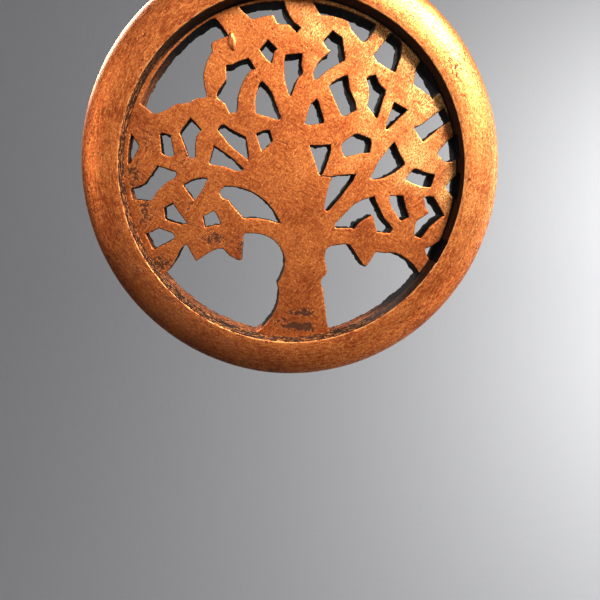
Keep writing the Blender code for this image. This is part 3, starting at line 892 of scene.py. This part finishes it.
@dataclass
class MouldedRim:
    """The rim: a section with a small arris, a low crest and a round outer roll, spun about the disc."""

    wall_foot: float = 60.1
    wall_taper: float = 0.6
    arris: float = 0.5
    crest_radius: float = 64.5
    crest_rise: float = 0.3
    seam_foot: float = 73.2
    sunk: float = 0.25
    section_step: float = 0.9
    steps: int = 300

    def __post_init__(self) -> None:
        """Read the rim's size from its CAD node."""
        low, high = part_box("rim_ring")
        self.front = low.y / MM
        self.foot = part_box("tree_panel")[0].y / MM + self.sunk
        self.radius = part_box("tree_panel")[1].x / MM

    def corner(self, bench: Bench, radius: float) -> None:
        """Select the front corner of the section at a radius."""
        front = min(vert.co.y for vert in bench.mesh().verts) + 0.001 * MM
        bench.select("VERT", lambda vert: abs(vert.co.x / MM - radius) < TOUCH and vert.co.y < front)

    def section(self) -> Bench:
        """Shape the rim's section in the plane Z = 0, its roll first round and then pressed low."""
        wide = self.radius - self.wall_foot
        roll = self.radius - self.crest_radius
        high = self.foot - self.front
        foot = (0.0, self.foot * MM, 0.0)
        bench = Bench("moulded_rim", bpy.ops.mesh.primitive_plane_add, size=1.0)
        bpy.ops.transform.resize(value=(wide * MM, roll * MM, 1.0), center_override=(0.0, 0.0, 0.0))
        middle = Vector((self.wall_foot + wide / 2, self.foot - roll / 2, 0.0))
        bpy.ops.transform.translate(value=middle * MM)
        self.corner(bench, self.radius)
        bpy.ops.mesh.bevel(affect="VERTICES", offset=roll * 0.999 * MM, segments=22, profile=0.5)
        bpy.ops.mesh.select_all(action="SELECT")
        bpy.ops.transform.resize(value=(1.0, high / roll, 1.0), center_override=foot)
        self.corner(bench, self.wall_foot)
        bpy.ops.transform.translate(value=Vector((self.wall_taper, self.crest_rise, 0.0)) * MM)
        bpy.ops.mesh.bevel(affect="VERTICES", offset=self.arris * MM, segments=5, profile=0.5)
        bpy.ops.mesh.select_all(action="SELECT")
        bpy.ops.mesh.bisect(plane_co=Vector((self.seam_foot, self.foot, 0.0)) * MM, plane_no=(1.0, 1.0, 0.0),
                            clear_outer=True, threshold=TOUCH * MM)
        while bench.select("EDGE", lambda edge: edge.calc_length() > self.section_step * MM):
            bpy.ops.mesh.subdivide(number_cuts=1)
        return bench

    def crown(self, vert: bmesh.types.BMVert) -> Vector:
        """Return the swell of the crest between the arris and its highest circle."""
        inner = self.wall_foot + self.wall_taper + self.arris
        part = (vert.co.x / MM - inner) / (self.crest_radius - inner)
        if not 0.0 < part < 1.0 or vert.co.y / MM > self.front + 1.0:
            return Vector()
        return Vector((0.0, -self.crest_rise * (part - part * part) * MM, 0.0))

    def pressed(self, vert: bmesh.types.BMVert) -> Vector:
        """Return the coil's unevenness: always inward, so that the rim keeps its size."""
        swell = ripple(vert.co, 17.0, 0.09, 4.0) + ripple(vert.co, 5.0, 0.045, 7.0)
        share = min(1.0, (self.foot - vert.co.y / MM) / 1.5)
        return vert.normal * ((swell - 0.135) * max(0.0, share) * MM)

    def nick(self, bench: Bench, nick: Nick) -> None:
        """Cut one nick with a block, whose black faces the cut keeps."""
        turn = math.radians((nick.start + nick.end) / 2)
        half = math.radians((nick.end - nick.start) / 2)
        deep = nick.radius - self.wall_foot + 2.0
        middle = nick.radius - deep / 2
        wide = 2.0 * nick.radius * math.sin(half)
        tall = nick.height + self.sunk + 2.0
        y = self.foot + 2.0 - tall / 2
        bpy.ops.object.mode_set(mode="OBJECT")
        block = Bench("nick_block", bpy.ops.mesh.primitive_cube_add, size=1.0,
                      location=Vector((middle * math.cos(turn), y, middle * math.sin(turn))) * MM,
                      rotation=(0.0, -turn, 0.0), scale=Vector((deep, tall, wide)) * MM)
        block.settle()
        bpy.ops.mesh.bevel(affect="EDGES", offset=0.25 * MM, segments=1)
        Bench.leave()
        block.piece.data.materials.append(self.cut_finish)
        bench.start(bench.piece, "moulded_rim")
        bench.modify("BOOLEAN", object=block.piece, operation="DIFFERENCE", solver="EXACT",
                     material_mode="TRANSFER")
        bpy.data.objects.remove(block.piece)

    def build(self) -> bpy.types.Object:
        """Model and dress the rim."""
        bench = self.section()
        bench.shift(self.crown)
        bpy.ops.mesh.select_all(action="SELECT")
        bpy.ops.mesh.delete(type="ONLY_FACE")
        bpy.ops.mesh.select_all(action="SELECT")
        bpy.ops.mesh.spin(steps=self.steps, angle=2.0 * math.pi, center=(0.0, 0.0, 0.0), axis=(0.0, 1.0, 0.0))
        bench.face_out()
        bench.shift(self.pressed)
        finish = RimFinish(self.wall_foot).material()
        self.cut_finish = CutFinish().material()
        bench.piece.data.materials.append(finish)
        for nick in NICKS:
            self.nick(bench, nick)
        return bench.done(40.0, finish, Body.PLAQUE, Slot.RIM, "rim_ring")


@dataclass
class LutedSeam:
    """The coil of clay pressed into the V between rim and slab, outside."""

    bead: float = 1.35
    middle_radius: float = 73.55
    sides: int = 16
    steps: int = 300

    def pressed(self, vert: bmesh.types.BMVert) -> Vector:
        """Return the marks of the thumb that smoothed the coil."""
        swell = ripple(vert.co, 6.0, 0.11, 3.0) + ripple(vert.co, 2.2, 0.04, 8.0)
        return vert.normal * ((swell - 0.12) * MM)

    def build(self) -> bpy.types.Object:
        """Model and dress the seam."""
        low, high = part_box("luting_coil")
        depth = (low.y + high.y) / 2
        bench = Bench("luted_seam", bpy.ops.mesh.primitive_circle_add, vertices=self.sides,
                      radius=self.bead * MM, fill_type="NOTHING",
                      location=(self.middle_radius * MM, depth, 0.0))
        bench.settle()
        bpy.ops.mesh.select_all(action="SELECT")
        bpy.ops.mesh.spin(steps=self.steps, angle=2.0 * math.pi, center=(0.0, 0.0, 0.0), axis=(0.0, 1.0, 0.0))
        bench.face_out()
        bench.shift(self.pressed)
        return bench.done(60.0, SeamFinish().material(), Body.PLAQUE, Slot.SEAM, "luting_coil")


@dataclass
class SlipBead:
    """The dried bead of slip on the foliage: a ridged teardrop whose foot runs out on the face."""

    tilt: float = -13.0
    proud: float = 0.9
    bedded: float = 0.2
    foot: float = 0.12
    lean: float = 2.4
    taper: float = 0.35
    taper_start: float = 0.35
    ridge: float = 0.16
    groove_width: float = 0.35

    def __post_init__(self) -> None:
        """Read the bead's place from its CAD node."""
        self.low, self.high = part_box("slip_drop")
        self.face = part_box("tree_panel")[0].y

    def slump(self, vert: bmesh.types.BMVert) -> Vector:
        """Return the sag of the bead: a narrow top, two runs side by side and a thin foot."""
        height = (vert.co.z - self.low.z) / (self.high.z - self.low.z)
        up = (self.face - vert.co.y) / (self.proud * MM)
        lean = math.radians(self.tilt) * (0.5 - height) * self.lean * MM
        off = vert.co.x - (self.low.x + self.high.x) / 2 - lean
        side = Vector((vert.normal.x, 0.0, vert.normal.z))
        flare = side * (self.foot * max(0.0, 1.0 - 4.0 * up) * MM)
        narrow = -off * self.taper * max(0.0, height - self.taper_start)
        groove = self.ridge * math.exp(-(off / (self.groove_width * MM)) ** 2) * max(0.0, up)
        return flare + Vector((narrow, groove * MM, 0.0))

    def build(self) -> bpy.types.Object:
        """Model and dress the bead."""
        middle = (self.low + self.high) / 2
        half = (self.high - self.low) / 2
        bench = Bench("slip_bead", bpy.ops.mesh.primitive_uv_sphere_add, segments=40, ring_count=24,
                      radius=1.0, location=(middle.x, self.face, middle.z),
                      rotation=(0.0, math.radians(self.tilt), 0.0),
                      scale=(0.9 * half.x, self.proud * MM, half.z))
        bench.settle()
        bpy.ops.mesh.select_all(action="SELECT")
        bpy.ops.mesh.bisect(plane_co=(0.0, self.face + self.bedded * MM, 0.0), plane_no=(0.0, 1.0, 0.0),
                            clear_outer=True, use_fill=True, threshold=0.001 * MM)
        bench.shift(self.slump)
        return bench.done(60.0, SlipFinish().material(), Body.PLAQUE, Slot.SLIP, "slip_drop")


@dataclass
class WireBail:
    """The wire bail: pins turned outward into the slab, two legs and a cross bar, hanging down."""

    half_span: float = 5.6
    bend: float = 1.3
    sides: int = 20
    bend_steps: int = 8

    def run(self, x: float, z: float) -> None:
        """Draw the wire on by a straight length in millimetres."""
        bpy.ops.mesh.extrude_region_move(TRANSFORM_OT_translate={"value": (x * MM, 0.0, z * MM)})

    def turn(self, centre: tuple[float, float], quarter: int) -> None:
        """Bend the wire by a quarter turn about a point (x, z), measured from the axis in millimetres."""
        at = Vector((centre[0] * MM, self.axis_y, self.axis_z + centre[1] * MM))
        bpy.ops.mesh.spin(steps=self.bend_steps, angle=quarter * math.pi / 2, center=at, axis=(0.0, 1.0, 0.0))

    def build(self) -> bpy.types.Object:
        """Model and dress the bail."""
        low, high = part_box("hanging_bail")
        radius = (high.y - low.y) / 2
        self.axis_y = (low.y + high.y) / 2
        self.axis_z = high.z - radius
        reach = (high.z - low.z - 2 * radius) / MM
        leg, bend = self.half_span, self.bend
        pin = high.x / MM - leg - bend
        bench = Bench("wire_bail", bpy.ops.mesh.primitive_circle_add, vertices=self.sides, radius=radius,
                      fill_type="NOTHING", location=(high.x, self.axis_y, self.axis_z),
                      rotation=(0.0, math.pi / 2, 0.0))
        bench.settle()
        bpy.ops.mesh.select_all(action="SELECT")
        self.run(-pin, 0.0)
        self.turn((leg + bend, -bend), -1)
        self.run(0.0, 2 * bend - reach)
        self.turn((leg - bend, bend - reach), 1)
        self.run(2 * (bend - leg), 0.0)
        self.turn((bend - leg, bend - reach), 1)
        self.run(0.0, reach - 2 * bend)
        self.turn((-leg - bend, -bend), -1)
        self.run(-pin, 0.0)
        for side in (-1, 1):
            bench.select("EDGE", lambda edge, side=side: edge.is_boundary and edge.verts[0].co.x * side > 0)
            bpy.ops.mesh.edge_face_add()
        bench.face_out()
        return bench.done(50.0, WireFinish().material(), Body.BAIL, Slot.WIRE, "hanging_bail")


# ---------------------------------------------------------------- studio
@dataclass(frozen=True)
class Lamp:
    """A soft square lamp: its place and target in metres, side, watts, beam in degrees and colour."""

    name: str
    place: Point
    target: Point
    side: float
    power: float
    beam: float
    colour: Colour
    flagged: bool = False


LAMPS = (
    Lamp("key_lamp", (0.225, -0.24, 0.26), (0.0, 0.0, 0.0), 0.16, 1.22, 75.0, (1.0, 0.93, 0.82), True),
    Lamp("fill_lamp", (-0.45, -0.70, 0.45), (0.0, 0.0, 0.0), 0.70, 0.4, 120.0, (1.0, 0.92, 0.93)),
    Lamp("side_lamp", (-0.42, -0.22, 0.06), (0.0, 0.0, 0.0), 0.30, 0.20, 90.0, (1.0, 0.80, 0.68), True),
    Lamp("low_lamp", (0.34, -0.24, -0.30), (0.0, 0.0, 0.0), 0.24, 0.14, 90.0, (1.0, 0.86, 0.74), True),
    Lamp("back_lamp", (-0.30, 0.27, 0.26), (0.0, 0.0, 0.0), 0.20, 1.5, 90.0, (1.0, 0.95, 0.90), True),
    Lamp("paper_lamp", (0.46, 0.08, 0.0), (0.14, 0.30, -0.14), 0.36, 1.8, 150.0, (1.0, 0.985, 0.96)),
)


@dataclass
class Studio:
    """A paper sweep, soft lamps, pale surroundings and the camera."""

    pieces: list[bpy.types.Object]
    floor: float = -0.34
    wall: float = 0.30
    half_width: float = 1.6
    height: float = 1.9
    bend: float = 0.25
    sky: Colour = (0.80, 0.80, 0.82)
    sky_power: float = 0.17
    eye: Point = (-0.0084, -0.22275, -0.0002)
    heading: float = 3.04
    tilt: float = -12.08
    roll: float = 0.64
    lens: float = 34.68
    film: float = 36.0

    def paper(self) -> None:
        """Model the sweep: a floor whose back edge is drawn up into a wall with a round bend."""
        bench = Bench("studio_paper", bpy.ops.mesh.primitive_plane_add, size=2.0 * self.half_width,
                      location=(0.0, self.wall - self.half_width, self.floor))
        bench.settle()
        back = self.wall - 0.001
        bench.select("EDGE", lambda edge: all(vert.co.y > back for vert in edge.verts))
        bpy.ops.mesh.extrude_region_move(TRANSFORM_OT_translate={"value": (0.0, 0.0, self.height)})
        low = self.floor + 0.001
        bench.select("EDGE", lambda edge: all(vert.co.y > back and vert.co.z < low for vert in edge.verts))
        bpy.ops.mesh.bevel(offset=self.bend, segments=16)
        bpy.ops.object.mode_set(mode="OBJECT")
        bpy.ops.object.shade_smooth_by_angle(angle=math.radians(30.0))
        bench.piece.data.materials.append(StudioFinish().material())
        Bench.leave()

    def lamps(self) -> None:
        """Hang the lamps, which aren't seen themselves. A flagged one lights the plaque but not the paper."""
        plaque = bpy.data.collections.new("plaque")
        for piece in self.pieces:
            plaque.objects.link(piece)
        for lamp in LAMPS:
            light = bpy.data.lights.new(lamp.name, "AREA")
            light.size = lamp.side
            light.energy = lamp.power
            light.color = lamp.colour
            light.spread = math.radians(lamp.beam)
            holder = bpy.data.objects.new(lamp.name, light)
            holder.visible_camera = False
            if lamp.flagged:
                holder.light_linking.receiver_collection = plaque
            holder.location = lamp.place
            aim = Vector(lamp.target) - Vector(lamp.place)
            holder.rotation_euler = aim.to_track_quat("-Z", "Y").to_euler()
            bpy.context.scene.collection.objects.link(holder)

    def surroundings(self) -> None:
        """Set the pale light that comes from all round."""
        world = bpy.data.worlds.new("studio_air")
        world.use_nodes = True
        background = world.node_tree.nodes["Background"]
        background.inputs["Color"].default_value = (*self.sky, 1.0)
        background.inputs["Strength"].default_value = self.sky_power
        bpy.context.scene.world = world
        bpy.context.scene.view_settings.view_transform = "Standard"

    def camera(self) -> None:
        """Set the camera, close in front of the plaque and looking a little down."""
        lens = bpy.data.cameras.new("front_camera")
        lens.lens = self.lens
        lens.sensor_width = self.film
        lens.clip_start = 0.01
        holder = bpy.data.objects.new("front_camera", lens)
        level = Euler((math.radians(90.0 + self.tilt), 0.0, math.radians(-self.heading))).to_matrix()
        spun = Matrix.Rotation(math.radians(self.roll), 3, "Z")
        holder.rotation_euler = (level @ spun).to_euler()
        holder.location = self.eye
        bpy.context.scene.collection.objects.link(holder)
        bpy.context.scene.camera = holder

    def build(self) -> None:
        """Set up the whole studio."""
        self.paper()
        self.lamps()
        self.surroundings()
        self.camera()


def main() -> None:
    """Build every piece, the studio and the camera."""
    logging.basicConfig(level=logging.INFO, format="%(name)s: %(message)s")
    pieces = []
    for assembly in (PiercedTree(), MouldedRim(), LutedSeam(), SlipBead(), WireBail()):
        piece = assembly.build()
        pieces.append(piece)
        LOG.info("%s: %d faces", piece.name, len(piece.data.polygons))
    Studio(pieces).build()


if __name__ == "__main__":
    main()
